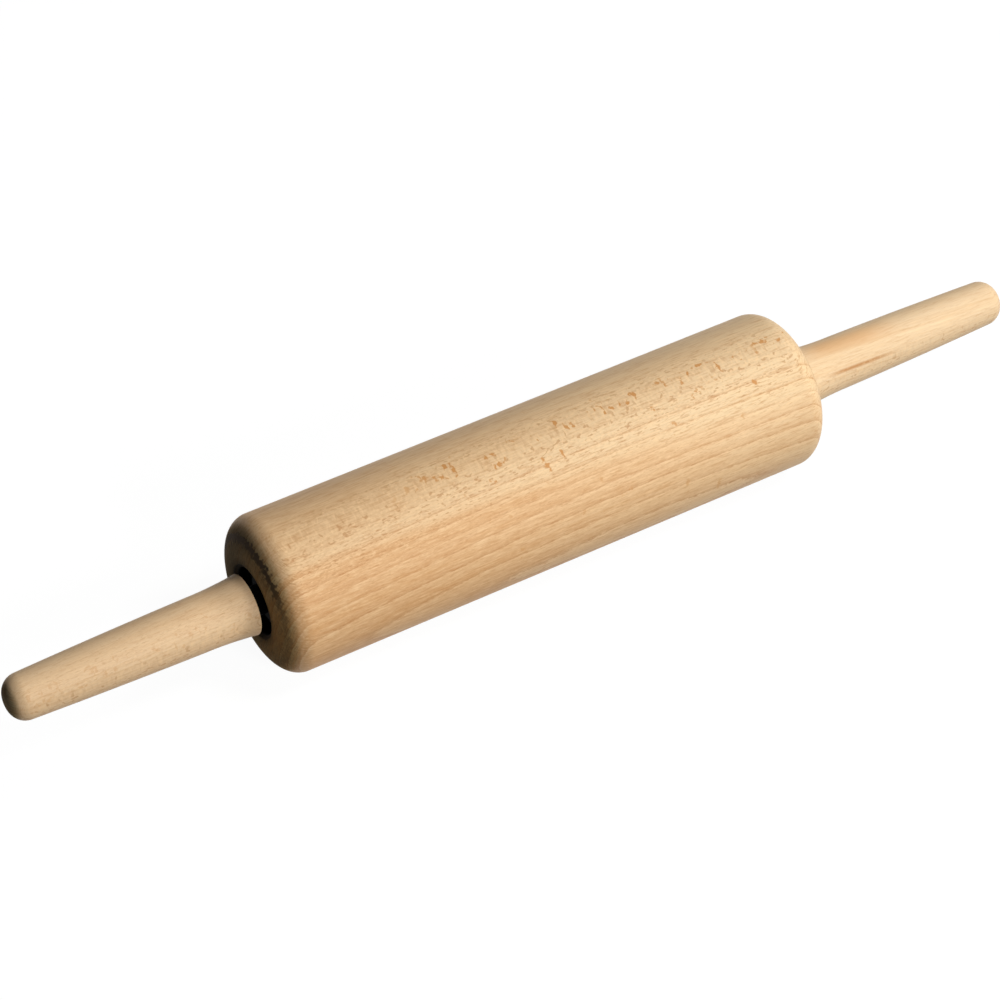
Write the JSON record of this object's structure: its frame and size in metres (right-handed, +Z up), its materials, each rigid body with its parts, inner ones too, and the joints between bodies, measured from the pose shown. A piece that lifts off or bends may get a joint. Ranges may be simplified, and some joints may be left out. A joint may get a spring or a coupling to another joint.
{
  "type": "rolling pin",
  "caption": "Beech rolling pin: a thick roller with rounded, recessed ends turns freely on ball bearings round a steel axle held between flared, tapering handles.",
  "frame": {"origin": "under the middle of the roller, on the surface it rests on", "axes": "+X along the axle towards the right handle, +Z up"},
  "size_m": [0.4596, 0.0658, 0.0659],
  "materials": {
    "roller_beech": "fine sanded and oiled, satin, with flecked quarter grain and long growth lines",
    "handle_beech": "fine sanded and oiled, satin",
    "bright_steel": "drawn bright",
    "bearing_steel": "ground",
    "ball_steel": "polished",
    "spring_steel": "dark, oiled",
    "black_steel": "blackened and oiled, matt",
    "seal_rubber": "moulded, matt black",
    "brass": "machined",
    "nylon": "moulded, natural"
  },
  "bodies": {
    "handles_and_axle": {"left_handle": "handle_beech", "right_handle": "handle_beech", "axle": "bright_steel", "left_threaded_insert": "brass", "right_threaded_insert": "brass", "left_spacer": "black_steel", "right_spacer": "black_steel", "left_retaining_ring": "spring_steel", "right_retaining_ring": "spring_steel", "left_bearing_inner_ring": "bearing_steel", "right_bearing_inner_ring": "bearing_steel"},
    "roller_and_outer_rings": {"roller": "roller_beech", "left_bearing_outer_ring": "bearing_steel", "left_bearing_outboard_seal": "seal_rubber", "left_bearing_inboard_seal": "seal_rubber", "right_bearing_outer_ring": "bearing_steel", "right_bearing_outboard_seal": "seal_rubber", "right_bearing_inboard_seal": "seal_rubber"},
    "left_cage_and_balls": {"left_bearing_cage": "nylon", "left_bearing_ball_1": "ball_steel", "left_bearing_ball_2": "ball_steel", "left_bearing_ball_3": "ball_steel", "left_bearing_ball_4": "ball_steel", "left_bearing_ball_5": "ball_steel", "left_bearing_ball_6": "ball_steel", "left_bearing_ball_7": "ball_steel"},
    "right_cage_and_balls": {"right_bearing_cage": "nylon", "right_bearing_ball_1": "ball_steel", "right_bearing_ball_2": "ball_steel", "right_bearing_ball_3": "ball_steel", "right_bearing_ball_4": "ball_steel", "right_bearing_ball_5": "ball_steel", "right_bearing_ball_6": "ball_steel", "right_bearing_ball_7": "ball_steel"}
  },
  "joints": [
    {"name": "roller_spin", "type": "hinge", "parent": "handles_and_axle", "child": "roller_and_outer_rings", "pos_m": [0, 0, 0.03293], "axis": [1, 0, 0], "continuous": true},
    {"name": "left_cage_orbit", "type": "hinge", "parent": "handles_and_axle", "child": "left_cage_and_balls", "pos_m": [-0.1165, 0, 0.03293], "axis": [1, 0, 0], "continuous": true},
    {"name": "right_cage_orbit", "type": "hinge", "parent": "handles_and_axle", "child": "right_cage_and_balls", "pos_m": [0.1165, 0, 0.03293], "axis": [1, 0, 0], "continuous": true}
  ],
  "couplings": [
    {"joint": "left_cage_orbit", "follows": "roller_spin", "ratio": 0.6323},
    {"joint": "right_cage_orbit", "follows": "roller_spin", "ratio": 0.6323}
  ]
}
